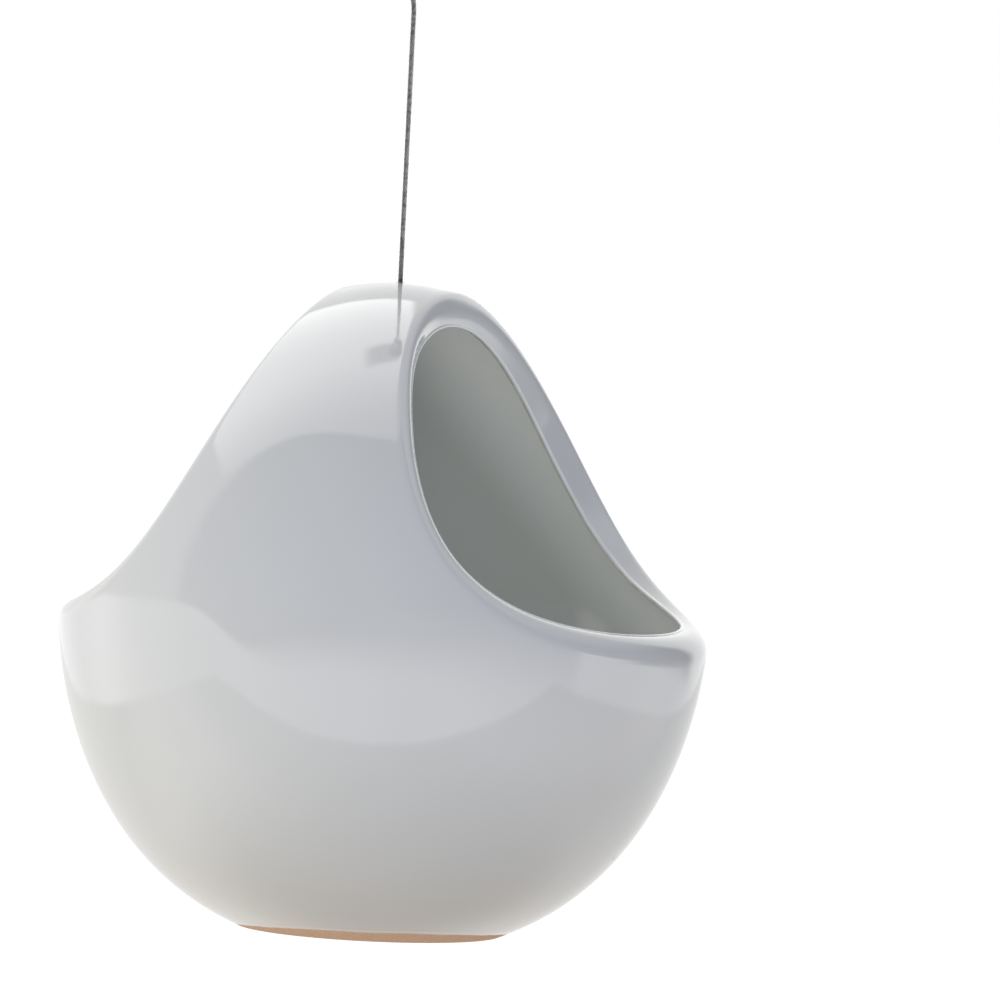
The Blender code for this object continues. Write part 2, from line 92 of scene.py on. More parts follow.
# The right lip's hand finish: places round its edge in half turns, and there the wall's reach past the
# arch, the growth of the roll, that of the whole depth and how much deeper than wide the roll is, in mm
FINISH_TURNS = (0.0, 0.30, 0.45, 0.70, 0.85, 1.00, 1.15, 1.30, 1.55, 1.75, 2.0)
FINISH_REACH = (0.0, 0.3, 0.6, 0.6, 0.1, 1.7, 1.25, 0.3, 0.1, 0.0, 0.0)
FINISH_ROLL = (0.0, 0.3, 0.6, 0.1, -1.0, 0.4, 0.0, -0.3, -0.3, 0.0, 0.0)
FINISH_DEPTH = (0.0, -2.0, -3.4, -2.9, -1.9, 0.8, 1.8, 3.4, 2.6, 0.9, 0.0)
FINISH_STRETCH = (0.0, 0.0, 0.0, 0.0, 0.5, 2.9, 2.2, 1.3, 0.3, 0.0, 0.0)

# Counts of faces of the pot's patches, points round the lip's section, where the patches meet, and the
# value of the attribute "edge" inside the pot
ARCH_COLUMNS = 40
UNDER_COLUMNS = 60
OVER_ROWS = 110
JOIN_ROWS = 12
BOWL_ROWS = 36
ARC_POINTS = 13
BEAD_POINTS = 10
CORNER_POINTS = 6
SHOULDER_TURN = math.radians(62)
SHOULDER_BEARING = math.radians(42)
BOWL_TOP_HEIGHT = 0.0760
INSIDE = -1.0

# Wire rope, its eye and its fittings
CABLE_RADIUS = 0.00075
CABLE_STEP = 0.00022
BORE_RADIUS = CABLE_RADIUS + 0.0003
CABLE_OFFSET = CABLE_RADIUS + GAP / 2
CABLE_SIDE_STEP = 0.0080
EYE_RADIUS = 0.0046
EYE_HANDLE = 0.0045
LAY_LENGTH = 0.0085
STRANDS = 6
EDGE_BREAK = 0.0002
CRIMP_DEPTH = 0.00025
CRIMP_WIDTH = 0.0014
FERRULE_CRIMP_SPACING = 0.0029
SLEEVE_CRIMP_SPACING = 0.0040
WASHER_HOLE_RADIUS = 0.0012
WASHER_CORNER = 0.00018
PAD_CORNER = 0.00035
TURNED_SIDES = 72

# Hook
TUBE_SIDES = 48
HOOK_ROD_RADIUS = 0.0016
ROD_STEP = 0.00045
HOOK_BEND_RADIUS = 0.0080
HOOK_SHOULDER_RADIUS = 0.0040
HOOK_TIP_ANGLE = -200.0
COLLAR_THICKNESS = 0.0024
COLLAR_RADIUS = 0.0085
COLLAR_LAND = 0.0011
COLLAR_DOME = 0.0018
ROD_FILLET = 0.0008
SCREW_RADIUS = 0.0021
SCREW_POINT = 0.0050
THREAD_PITCH = 0.0018
THREAD_DEPTH = 0.0005
THREAD_HALF_WIDTH = 0.28
THREAD_FADE = 0.0030

# Glaze and clay
GLAZE = {
    "mean": (0.71, 0.715, 0.71), "white": (0.735, 0.74, 0.74), "greyer": (0.71, 0.708, 0.70),
    "iron": (0.30, 0.23, 0.17), "large_iron": (0.09, 0.07, 0.06),
    # Painted highlight on the lip's bead, then the thin glaze at the trimmed edge
    "bead_painted_highlight": (0.94, 0.94, 0.93), "thin": (0.50, 0.42, 0.34),
    # Painted light and shade inside the pot: its light end and its dark end
    "inside_painted_light": (0.91, 0.925, 0.90), "inside_painted_shade": (0.53, 0.55, 0.52),
    "by_the_foot": (0.72, 0.685, 0.665), "at_its_line": (0.66, 0.55, 0.46),
}
CLAY = {"pale": (0.80, 0.53, 0.37), "warm": (0.70, 0.455, 0.31), "grit": (0.60, 0.39, 0.27)}
GLAZE_IOR = 1.56
GLAZE_ROUGHNESS = 0.07
CLAY_ROUGHNESS = 0.85
IRON_SPOT = (0.0757, 0.0050, FOOT_Z + 0.0270)
# Direction of the painted shade inside the pot, which darkens it towards the left and the bottom
INSIDE_SHADE_RIGHT, INSIDE_SHADE_UP = 0.75, 0.65
DIP_TILT = math.tan(math.radians(3.7))
DIP_TURN = 0.010
DIP_HEIGHT = 0.0008
BARE_HEIGHT = 0.0010
DIP_WANDER = 0.0009

# Metals: light and dark colour, roughness, and the scale and height of the grain
METALS = {
    "dark_wire": ((0.36, 0.34, 0.335), (0.20, 0.186, 0.184), 0.42, 900.0, 0.00003),
    "crimp_alloy": ((0.46, 0.46, 0.47), (0.32, 0.32, 0.33), 0.34, 500.0, 0.00002),
    "washer_steel": ((0.45, 0.45, 0.45), (0.33, 0.32, 0.31), 0.28, 420.0, 0.00001),
    "hook_steel": ((0.40, 0.395, 0.39), (0.27, 0.265, 0.26), 0.24, 260.0, 0.00001),
}

# Camera, read from the photograph's outlines
CAMERA_TURN = math.radians(19.4)
CAMERA_PITCH = math.radians(2.83)
CAMERA_ROLL = math.radians(2.86)
CAMERA_DISTANCE = 3.244
CAMERA_HEIGHT = 0.1443
AIM_RIGHT = 0.0336
AIM_HEIGHT = 0.1324
FOCAL_LENGTH = 383.7
SENSOR = 36.0
TOWARD = Vector((math.sin(CAMERA_TURN), -math.cos(CAMERA_TURN), 0))
RIGHT = Vector((math.cos(CAMERA_TURN), math.sin(CAMERA_TURN), 0))

# Light: the colours of what the glaze mirrors, with the places of the walls' parts and of the sweep's fades
# in degrees, the fill for matt surfaces, the overhead lamp and the floor
STUDIO = {
    "back_wall": (1.39, 1.40, 1.37), "ceiling": (0.92, 0.92, 0.92),
    "left_wall": (1.05, 1.02, 1.00), "back_corner": (1.06, 1.07, 1.06), "right_wall": (0.10, 0.11, 0.13),
    "sweep_left": (2.86, 2.90, 2.94), "sweep_side": (1.82, 1.85, 1.80), "sweep_front": (1.99, 1.95, 2.07),
    "sweep_middle": (2.38, 2.34, 2.46), "sweep_right": (1.98, 1.96, 1.97),
    "sweep_back": (1.32, 1.34, 1.39),
    "board_left": (1.11, 1.08, 1.03), "board_middle": (1.56, 1.53, 1.46),
    "board_right": (0.90, 0.86, 0.84), "board_end": (1.44, 1.38, 1.38),
    "board_back": (1.02, 1.02, 1.01), "board_shadow": (0.02, 0.02, 0.02),
    "room_foot": (0.55, 0.57, 0.66), "room_low": (0.15, 0.17, 0.25), "room_high": (0.01, 0.01, 0.02),
    "softbox_back": (3.20, 3.20, 3.14), "softbox_front": (1.40, 1.37, 1.32),
    "lamp_arm": (1.05, 1.03, 1.02),
}
WALL_PARTS = (  # name, bearings and heights, each as low, high and half the soft edge's width
    ("left_wall", (-125.0, -72.0, 6.0), (-3.0, 46.0, 5.0)),
    ("back_corner", (-180.0, -147.0, 5.0), (-1.0, 13.0, 4.0)),
    ("right_wall", (66.0, 143.0, 5.0), (-12.0, 34.0, 16.0)),
)
SWEEP_FADES = (("sweep_side", -142.0, -92.0), ("sweep_front", -60.0, -10.0), ("sweep_middle", 5.0, 35.0),
               ("sweep_right", 70.0, 110.0))
FILL = {"up": (0.21, 0.19, 0.19), "down": (0.50, 0.39, 0.22), "left": (1.24, 1.25, 1.20),
        "right": (0.48, 0.51, 0.56), "toward": (0.80, 0.86, 0.98), "behind": (0.68, 0.68, 0.66)}
SOFTBOX_RADIANCE = 0.64
SOFTBOX_SIZE = (1.18, 1.54)
SOFTBOX_ASIDE = -0.53
SOFTBOX_RISE = 1.14
FLOOR_Z = FOOT_Z - 0.45
FLOOR_RADIUS = 40.0
FLOOR_LIFT = 0.65


def unit(v):
    """Vectors made one long."""
    return v / np.linalg.norm(v, axis=-1, keepdims=True)


def bezier(points, t):
    """Cubic Bezier curve: the four points weighted by (1-t)^3, 3t(1-t)^2, 3t^2(1-t) and t^3."""
    a, b, c, d = (np.array(p, float) for p in points)
    t = np.asarray(t, float)[..., None]
    return (1 - t) ** 3 * a + 3 * t * (1 - t) ** 2 * b + 3 * t * t * (1 - t) * c + t ** 3 * d


def wall_table():
    """The ball pot's outline as a table: distance down the wall, radius, height and outward normal."""
    t = np.linspace(0, 1, OUTLINE_POINTS)
    upper = bezier([(0, POT_HEIGHT), (CROWN_HANDLE, POT_HEIGHT),
                    (BELLY_RADIUS, BELLY_HEIGHT + BELLY_HANDLES[1]), (BELLY_RADIUS, BELLY_HEIGHT)], t)
    lower = bezier([(BELLY_RADIUS, BELLY_HEIGHT), (BELLY_RADIUS, BELLY_HEIGHT - BELLY_HANDLES[0]),
                    (FOOT_RADIUS + FOOT_HANDLE[0], FOOT_HANDLE[1]), (FOOT_RADIUS, 0)], t)
    r, z = np.concatenate([upper, lower[1:]]).T
    way = np.concatenate([[0], np.cumsum(np.hypot(np.diff(r), np.diff(z)))])
    return way, r, z, -np.gradient(z, way), np.gradient(r, way)


WAY, RADIUS, HEIGHT, NORMAL_OUT, NORMAL_UP = wall_table()
UPPER = int(0.8 * OUTLINE_POINTS)


def way_at(z):
    """Distance down the wall at a height."""
    return np.interp(-z, -HEIGHT, WAY)


def wall_point(flat):
    """Point and outward normal of the wall for a point of the flat map, by its distance and bearing."""
    way = np.hypot(flat[..., 0], flat[..., 1])
    bearing = flat / np.maximum(way, 1e-9)[..., None]
    point = np.concatenate([bearing * np.interp(way, WAY, RADIUS)[..., None],
                            np.interp(way, WAY, HEIGHT)[..., None]], -1)
    out, up = np.interp(way, WAY, NORMAL_OUT), np.interp(way, WAY, NORMAL_UP)
    return point, unit(np.concatenate([bearing * out[..., None], up[..., None]], -1))


def to_map(point):
    """Place on the flat map of a point of the wall."""
    scale = way_at(point[..., 2]) / np.hypot(point[..., 0], point[..., 1])
    return point[..., :2] * scale[..., None]


def scoop_edge(turn):
    """Right opening's edge: a Bezier outline in X and Z, laid on the wall by Y = sqrt(r^2 - x^2)."""
    rim = np.interp(-RIM_LOW_HEIGHT, -HEIGHT, RADIUS)
    top = np.interp(np.interp(ARCH_HALF_WIDTH, RADIUS[:UPPER], WAY[:UPPER]), WAY, HEIGHT)
    x, z = bezier([(rim, RIM_LOW_HEIGHT), (rim - RIM_HANDLE[0], RIM_LOW_HEIGHT + RIM_HANDLE[1]),
                   (ARCH_HALF_WIDTH + ARCH_HANDLE[0], top - ARCH_HANDLE[1]),
                   (ARCH_HALF_WIDTH, top)], (1 - np.cos(turn)) / 2).T
    depth = np.sqrt(np.maximum(np.interp(-z, -HEIGHT, RADIUS) ** 2 - x ** 2, 0))
    return np.stack([x, -np.sign(np.sin(turn)) * depth, z], -1)


def hand_finish(turn, values):
    """Smooth curve through a table round the lip: cubic pieces with the slopes between the neighbours."""
    at, values = np.array(FINISH_TURNS) * math.pi, np.array(values) * 0.001
    slope = np.concatenate([[0], (values[2:] - values[:-2]) / (at[2:] - at[:-2]), [0]])
    piece = np.clip(np.searchsorted(at, turn, "right") - 1, 0, len(at) - 2)
    span = at[piece + 1] - at[piece]
    t = (turn - at[piece]) / span
    return ((1 + 2 * t) * (1 - t) ** 2 * values[piece] + t * (1 - t) ** 2 * span * slope[piece]
            + t * t * (3 - 2 * t) * values[piece + 1] + t * t * (t - 1) * span * slope[piece + 1])


def lip_rows(turn, side):
    """Lip section at each turn of the opening's edge: quarter arc into the opening, straight in to the
    trimmed edge with its round bead, back behind it and round the inner arc to the wall's inner face."""
    start = scoop_edge(turn)
    along = unit(scoop_edge(turn + 1e-3) - scoop_edge(turn - 1e-3))
    out = wall_point(to_map(start))[1]
    across = unit(np.cross(along, out))
    low = ((1 + np.cos(turn)) / 2) ** 2
    roll = LIP_ROLL_ARCH + (LIP_ROLL_RIM - LIP_ROLL_ARCH) * low
    wobble = (np.sin(3 * turn + side) + 0.6 * np.sin(7 * turn + 2.1 * side)
              + 0.4 * np.sin(13 * turn + 4 * side))
    deep = LIP_DEPTH - TRIM_WOBBLE + TRIM_WOBBLE * wobble * 0.5
    reach, stretch = 0 * turn, 0 * turn
    if side > 0:
        round_turn = turn % (2 * math.pi)
        reach = np.maximum(hand_finish(round_turn, FINISH_REACH), 0)
        roll = roll + hand_finish(round_turn, FINISH_ROLL)
        deep = deep + hand_finish(round_turn, FINISH_DEPTH)
        stretch = hand_finish(round_turn, FINISH_STRETCH)
    arc_deep = roll + stretch
    arc = np.linspace(0, math.pi / 2, ARC_POINTS)
    corner = np.linspace(0, math.pi / 2, CORNER_POINTS)
    bead_turn = math.acos(1 - BEAD_RISE / BEAD_RADIUS)
    straight = np.maximum(deep - BEAD_RADIUS * (1 + math.sin(bead_turn)) - arc_deep, 0)
    foot = arc_deep + straight + BEAD_RADIUS * math.sin(bead_turn)
    bead = np.linspace(-bead_turn, math.pi / 2, BEAD_POINTS)
    crest = reach + roll + BEAD_RISE - BEAD_RADIUS
    rows = [(0.0, 0.0, 0.0)]
    rows += [(reach + roll * math.sin(a), arc_deep * (1 - math.cos(a)), 0.0) for a in arc[1:]]
    rows += [(reach + roll, arc_deep + straight * s, 0.0) for s in (0.33, 0.67)]
    rows += [(crest + BEAD_RADIUS * math.cos(a), foot + BEAD_RADIUS * math.sin(a),
              (a + bead_turn) / (math.pi / 2 + bead_turn)) for a in bead]
    rows += [(reach + roll - EDGE_THICKNESS + TRIM_ROUND * (1 - math.sin(a)),
              foot + BEAD_RADIUS - TRIM_ROUND * (1 - math.cos(a)), 1.0) for a in corner]
    inner = np.maximum(roll - WALL, INNER_ROLL_LEAST)
    taper = roll - EDGE_THICKNESS - inner
    rows += [(reach + inner + taper * (1 - (1 - s) ** 1.5), arc_deep + straight * s, INSIDE * (1 - s))
             for s in (0.9, 0.67, 0.33)]
    rows += [(reach + inner * math.sin(a), arc_deep - (arc_deep - WALL) * math.cos(a), INSIDE)
             for a in arc[::-1][::2][:-1]]
    rows += [(0.0, WALL, INSIDE)]
    points = np.stack([start + (x + 0 * turn)[:, None] * across - (y + 0 * turn)[:, None] * out
                       for x, y, _ in rows])
    edge = np.stack([np.full(len(turn), s) for _, _, s in rows])
    return points, edge


def arch_map():
    """Flat map of the wall from the bowl's top at the front over the arch to the back."""
    corner = way_at(BOWL_TOP_HEIGHT) * np.array([math.sin(SHOULDER_BEARING), -math.cos(SHOULDER_BEARING)])
    edge = to_map(scoop_edge(np.linspace(SHOULDER_TURN, 2 * math.pi - SHOULDER_TURN, OVER_ROWS + 1)))
    edge = edge[:OVER_ROWS // 2 + 1]
    join = np.linspace(0, 1, JOIN_ROWS, endpoint=False)[:, None]
    right = np.concatenate([corner + join * (edge[0] - corner), edge])
    right[-1, 1] = 0
    share = np.linspace(-1, 1, ARCH_COLUMNS + 1)
    way = np.hypot(right[:, 0], right[:, 1])[:, None]
    bearing = np.arctan2(right[:, 0], -right[:, 1])[:, None]
    straight = np.stack([right[:, :1] * share, np.repeat(right[:, 1:], len(share), 1)], -1)
    circle = np.stack([way * np.sin(bearing * share), -way * np.cos(bearing * share)], -1)
    bow = (np.cos(np.linspace(0, math.pi, len(right))) / 2 + 0.5)[:, None, None]
    front = bow * circle + (1 - bow) * straight
    return np.concatenate([front, front[-2::-1] * [1, -1]])


def under_map():
    """Flat map of the wall below the right opening."""
    bearing = np.linspace(SHOULDER_BEARING, math.pi - SHOULDER_BEARING, UNDER_COLUMNS + 1)
    low = way_at(BOWL_TOP_HEIGHT) * np.stack([np.sin(bearing), -np.cos(bearing)], -1)
    high = to_map(scoop_edge(np.linspace(SHOULDER_TURN, -SHOULDER_TURN, UNDER_COLUMNS + 1)))
    return low + np.linspace(0, 1, JOIN_ROWS + 1)[:, None, None] * (high - low)


def full_bearings():
    """The bearings of the bowl's columns, once round, which meet those of the patches above it."""
    side = np.linspace(-SHOULDER_BEARING, SHOULDER_BEARING, ARCH_COLUMNS + 1)
    under = np.linspace(SHOULDER_BEARING, math.pi - SHOULDER_BEARING, UNDER_COLUMNS + 1)
    half = np.concatenate([side[:-1], under[:-1]])
    return np.concatenate([half, half + math.pi, [half[0] + 2 * math.pi]])


def turned(profile, bearing):
    """Surface of revolution: each (radius, height) of the profile at each bearing about Z."""
    r, z = profile[:, :1], profile[:, 1:]
    return np.stack([r * np.sin(bearing), -r * np.cos(bearing), np.repeat(z, len(bearing), 1)], -1)


def bowl_profiles():
    """Outer profile from the foot's middle to the bowl's top, and the inner one at the wall's thickness."""
    way = np.linspace(WAY[-1], way_at(BOWL_TOP_HEIGHT), BOWL_ROWS + 1)
    r, z = np.interp(way, WAY, RADIUS), np.interp(way, WAY, HEIGHT)
    ring = FOOT_RADIUS - FOOT_RING_WIDTH
    cove = np.linspace(0, math.pi, 8)[:, None]
    rise = np.concatenate([ring - FOOT_COVE * (1 + np.cos(cove)) / 2,
                           FOOT_RECESS * (1 + np.cos(cove)) / 2], 1)
    foot = np.concatenate([[(radius, FOOT_RECESS) for radius in FOOT_RADII], rise,
                           [(ring + FOOT_RING_MIDDLE, 0.0)]])
    outer = np.concatenate([foot, np.stack([r, z], 1)])
    r_in = r - WALL * np.interp(way, WAY, NORMAL_OUT)
    z_in = z - WALL * np.interp(way, WAY, NORMAL_UP)
    floor = WALL + FOOT_RECESS
    cove_width, cove_height = INNER_COVE
    keep = z_in > floor + cove_height
    first = np.array([r_in[keep][0], z_in[keep][0]])
    bend = np.linspace(0, 1, 9)[:-1]
    cove_in = bezier([(first[0] - cove_width, floor), (first[0] - cove_width / 2, floor),
                      first - [0.0035, 0.0016], first], bend)
    middle_in = [(radius, floor) for radius in INNER_RADII if radius < cove_in[0, 0] - LEAST_STEP]
    inner = np.concatenate([middle_in, cove_in, np.stack([r_in[keep], z_in[keep]], 1)])
    return outer, inner


def join_patches(name, patches):
    """One mesh from point grids (rows, columns, 3) with a value per point for the attribute "edge"."""
    coords, values, faces, count = [], [], [], 0
    for points, value in patches:
        rows, columns = points.shape[:2]
        index = count + np.arange(rows * columns).reshape(rows, columns)
        quads = np.stack([index[:-1, :-1], index[:-1, 1:], index[1:, 1:], index[1:, :-1]], -1)
        coords.append(points.reshape(-1, 3))
        values.append(np.broadcast_to(value, (rows, columns)).reshape(-1))
        faces.append(quads.reshape(-1, 4))
        count += rows * columns
    data = bpy.data.meshes.new(name)
    data.from_pydata(np.concatenate(coords).tolist(), [], np.concatenate(faces).tolist())
    edge = data.attributes.new("edge", "FLOAT", "POINT")
    edge.data.foreach_set("value", np.concatenate(values).astype("f"))
    form = bmesh.new()
    form.from_mesh(data)
    bmesh.ops.remove_doubles(form, verts=form.verts, dist=MERGE_DISTANCE)
    bmesh.ops.recalc_face_normals(form, faces=form.faces)
    form.to_mesh(data)
    form.free()
    data.shade_smooth()
    return data


def add_piece(name, data, body, nodes, finish):
    """Puts a finished mesh in the scene on its body, in place of its CAD nodes."""
    piece = bpy.data.objects.new(name, data)
    bpy.context.scene.collection.objects.link(piece)
    data.materials.append(finish)
    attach(piece, body)
    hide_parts(*nodes)
    return piece


def add_planter():
    """The pot: outer and inner wall, two rolled lips, and the hole in its crown."""
    outer, inner = bowl_profiles()
    bearing = full_bearings()
    patches = [(turned(outer, bearing), 0.0), (turned(inner, bearing), INSIDE)]
    for flat, sides in ((arch_map(), (1,)), (under_map(), (1, -1))):
        point, normal = wall_point(flat)
        for side in sides:
            patches.append((point * [side, 1, 1], 0.0))
            patches.append(((point - WALL * normal) * [side, 1, 1], INSIDE))
    under = np.linspace(-SHOULDER_TURN, SHOULDER_TURN, UNDER_COLUMNS + 1)
    over = np.linspace(SHOULDER_TURN, 2 * math.pi - SHOULDER_TURN, OVER_ROWS + 1)
    for side in (1, -1):
        points, edge = lip_rows(np.concatenate([under[:-1], over]), side)
        patches.append((points * [side, 1, 1], edge))
    patches = [(points + [0, 0, FOOT_Z], value) for points, value in patches]
    data = join_patches("glazed_pot", patches)
    pot = add_piece("glazed_pot", data, "planter", ["planter_body"], glaze_material())
    drill_crown(pot)


def drill_crown(pot):
    """Hole for the rope, cut and then kept as plain mesh."""
    form = bmesh.new()
    bmesh.ops.create_cone(form, cap_ends=True, segments=48, radius1=CROWN_HOLE_RADIUS,
                          radius2=CROWN_HOLE_RADIUS, depth=DRILL_DEPTH)
    drill_data = bpy.data.meshes.new("drill")
    form.to_mesh(drill_data)
    form.free()
    drill = bpy.data.objects.new("drill", drill_data)
    bpy.context.scene.collection.objects.link(drill)
    drill.location.z = CROWN_Z - WALL / 2
    cut = pot.modifiers.new("Crown hole", "BOOLEAN")
    cut.operation = "DIFFERENCE"
    cut.object = drill
    bpy.context.view_layer.update()
    drilled = bpy.data.meshes.new_from_object(pot.evaluated_get(bpy.context.evaluated_depsgraph_get()))
    pot.modifiers.clear()
    pot.data = drilled
    drilled.name = "glazed_pot"
    bpy.data.objects.remove(drill)
    drilled.set_sharp_from_angle(angle=math.radians(50))


def spaced(path, step):
    """Points along a path at equal steps, with both its ends."""
    way = np.concatenate([[0], np.cumsum(np.linalg.norm(np.diff(path, axis=0), axis=1))])
    marks = np.linspace(0, way[-1], round(way[-1] / step) + 1)
    return np.stack([np.interp(marks, way, path[:, k]) for k in range(3)], -1)


def cable_route():
    """Middle line of the rope: taut through the pot, aside into the sleeve, round the eye and back."""
    rise = np.linspace(0, 1, 60)
    sleeve_z, sleeve_top = SLEEVE_LOW.z, SLEEVE_HIGH.z
    side = np.stack([-CABLE_OFFSET * rise ** 2 * (3 - 2 * rise), 0 * rise,
                     sleeve_z - CABLE_SIDE_STEP * (1 - rise)], -1)
    taut = np.linspace((0, 0, CABLE_LOW.z), side[0], 200)
    side_z = CABLE_HIGH.z - CABLE_RADIUS - EYE_RADIUS
    leg = bezier([(-CABLE_OFFSET, 0, sleeve_top), (-CABLE_OFFSET, 0, sleeve_top + EYE_HANDLE),
                  (-EYE_RADIUS, 0, side_z - EYE_HANDLE), (-EYE_RADIUS, 0, side_z)], np.linspace(0, 1, 80))
    bend = np.linspace(math.pi, math.pi / 2, 80)
    arc = np.stack([EYE_RADIUS * np.cos(bend), 0 * bend, side_z + EYE_RADIUS * np.sin(bend)], -1)
    half = np.concatenate([leg, arc[1:]])
    tail = [(CABLE_OFFSET, 0, sleeve_z + EDGE_BREAK)]
    return np.concatenate([taut, side[1:], half, half[-2::-1] * [-1, 1, 1], tail])


def closed_tube(name, rings):
    """Mesh of a tube from its rings of points, with the rings and both ends closed."""
    rings = np.concatenate([rings, rings[:, :1]], 1)
    low = np.broadcast_to(rings[0, :-1].mean(0), rings[:1].shape)
    high = np.broadcast_to(rings[-1, :-1].mean(0), rings[:1].shape)
    return join_patches(name, [(np.concatenate([low, rings, high]), 0.0)])


def add_cable():
    """Six strands laid round each other: path + radius(angle - turn along the rope) round the middle line,
    where the radius follows six round lobes."""
    path = spaced(cable_route(), CABLE_STEP)
    way = np.linspace(0, np.linalg.norm(np.diff(path, axis=0), axis=1).sum(), len(path))
    along = unit(np.gradient(path, axis=0))
    side = np.cross(along, [0, 1, 0])
    angle = np.linspace(0, 2 * math.pi, TUBE_SIDES, endpoint=False)
    phase = angle[None] - 2 * math.pi * way[:, None] / LAY_LENGTH
    strand = CABLE_RADIUS / 3
    lobe = (phase * STRANDS / (2 * math.pi) % 1 - 0.5) * 2 * math.pi / STRANDS
    centre = CABLE_RADIUS - strand
    radius = centre * np.cos(lobe) + np.sqrt(np.maximum(strand ** 2 - (centre * np.sin(lobe)) ** 2, 1e-12))
    rings = (path[:, None] + (radius * np.cos(angle))[..., None] * side[:, None]
             + (radius * np.sin(angle))[..., None] * np.array([0, 1, 0]))
    data = closed_tube("wire_rope", rings)
    rope = add_piece("wire_rope", data, "cable", ["hanging_cable"], metal("dark_wire"))


def revolved(name, outline):
    """Closed ring turned from a closed outline of (radius, height) points."""
    bearing = np.linspace(0, 2 * math.pi, TURNED_SIDES + 1)
    closed = np.array(list(outline) + [outline[0]], float)
    return join_patches(name, [(turned(closed, bearing), 0.0)])


def rounded_ring(inner, outer, low, high, corner):
    """Section of a washer whose four corners are quarter circles."""
    corners = ((outer - corner, high - corner, 90), (outer - corner, low + corner, 0),
               (inner + corner, low + corner, -90), (inner + corner, high - corner, -180))
    return [(r + corner * math.cos(a), z + corner * math.sin(a)) for r, z, start in corners
            for a in np.radians(np.linspace(start, start - 90, 6))]


def add_washers():
    """The soft pad and the steel washer under the crown."""
    hole = WASHER_HOLE_RADIUS
    pad = revolved("soft_pad", rounded_ring(hole, PAD_HIGH.x, PAD_LOW.z, PAD_HIGH.z, PAD_CORNER))
    add_piece("soft_pad", pad, "washers", ["rubber_pad"], rubber_material())
    section = rounded_ring(hole, WASHER_HIGH.x, WASHER_LOW.z, WASHER_HIGH.z, WASHER_CORNER)
    washer = revolved("plain_washer", section)
    add_piece("plain_washer", washer, "washers", ["steel_washer"], metal("washer_steel"))


def pressed(way, spacing):
    """Depth of two pressed grooves, as round dips at half the spacing from the middle."""
    dips = np.exp(-((np.abs(way) - spacing / 2) / (0.42 * CRIMP_WIDTH)) ** 4)
    return CRIMP_DEPTH * dips


def add_ferrule():
    """Round stop crimped under the washer: a tube whose radius dips at its two crimps."""
    middle, half = (FERRULE_LOW.z + FERRULE_HIGH.z) / 2, (FERRULE_HIGH.z - FERRULE_LOW.z) / 2
    outer = FERRULE_HIGH.x
    way = np.linspace(half - EDGE_BREAK, EDGE_BREAK - half, 60)
    bend = np.linspace(0, math.pi / 2, 5)[:-1]
    outline = [(outer - EDGE_BREAK + EDGE_BREAK * math.sin(b),
                half - EDGE_BREAK + EDGE_BREAK * math.cos(b)) for b in bend]
    outline += list(zip(outer - pressed(way, FERRULE_CRIMP_SPACING), way))
    outline += [(r, -z) for r, z in outline[:4][::-1]]
    outline += [(BORE_RADIUS, -half), (BORE_RADIUS, half)]
    outline = [(r, middle + z) for r, z in outline]
    add_piece("crimped_stop", revolved("crimped_stop", outline), "cable", ["stop_ferrule"],
              alloy())


def add_sleeve():
    """Oval sleeve over both legs of the eye: a slot-shaped ring at each height, pinched at two crimps."""
    low, high = SLEEVE_LOW.z, SLEEVE_HIGH.z
    middle, half = (low + high) / 2, (high - low) / 2
    way = np.concatenate([[-half, -half + 0.0001], np.linspace(-half + EDGE_BREAK, half - EDGE_BREAK, 64),
                          [half - 0.0001, half]])
    drop = np.maximum(np.abs(way) - (half - EDGE_BREAK), 0)
    radius = SLEEVE_HIGH.y - EDGE_BREAK + np.sqrt(np.maximum(EDGE_BREAK ** 2 - drop ** 2, 0))
    bend = np.linspace(-math.pi / 2, math.pi / 2, 25)
    cx = np.concatenate([CABLE_OFFSET + 0 * bend, -CABLE_OFFSET + 0 * bend])
    dx = np.concatenate([np.cos(bend), -np.cos(bend)])
    dy = np.concatenate([np.sin(bend), -np.sin(bend)])
    pinch = pressed(way, SLEEVE_CRIMP_SPACING)[:, None]
    outer = np.stack([cx + radius[:, None] * dx, (radius[:, None] - pinch) * dy,
                      np.repeat(way[:, None] + middle, len(cx), 1)], -1)
    inner = np.stack([np.repeat((cx + BORE_RADIUS * dx)[None], 2, 0),
                      np.repeat((BORE_RADIUS * dy)[None], 2, 0),
                      np.array([[high], [low]]) + 0 * cx], -1)
    rows = np.concatenate([outer, inner, outer[:1]])
    rows = np.concatenate([rows, rows[:, :1]], 1)
    data = join_patches("crimped_sleeve", [(rows, 0.0)])
    add_piece("crimped_sleeve", data, "cable", ["eye_sleeve"], alloy())


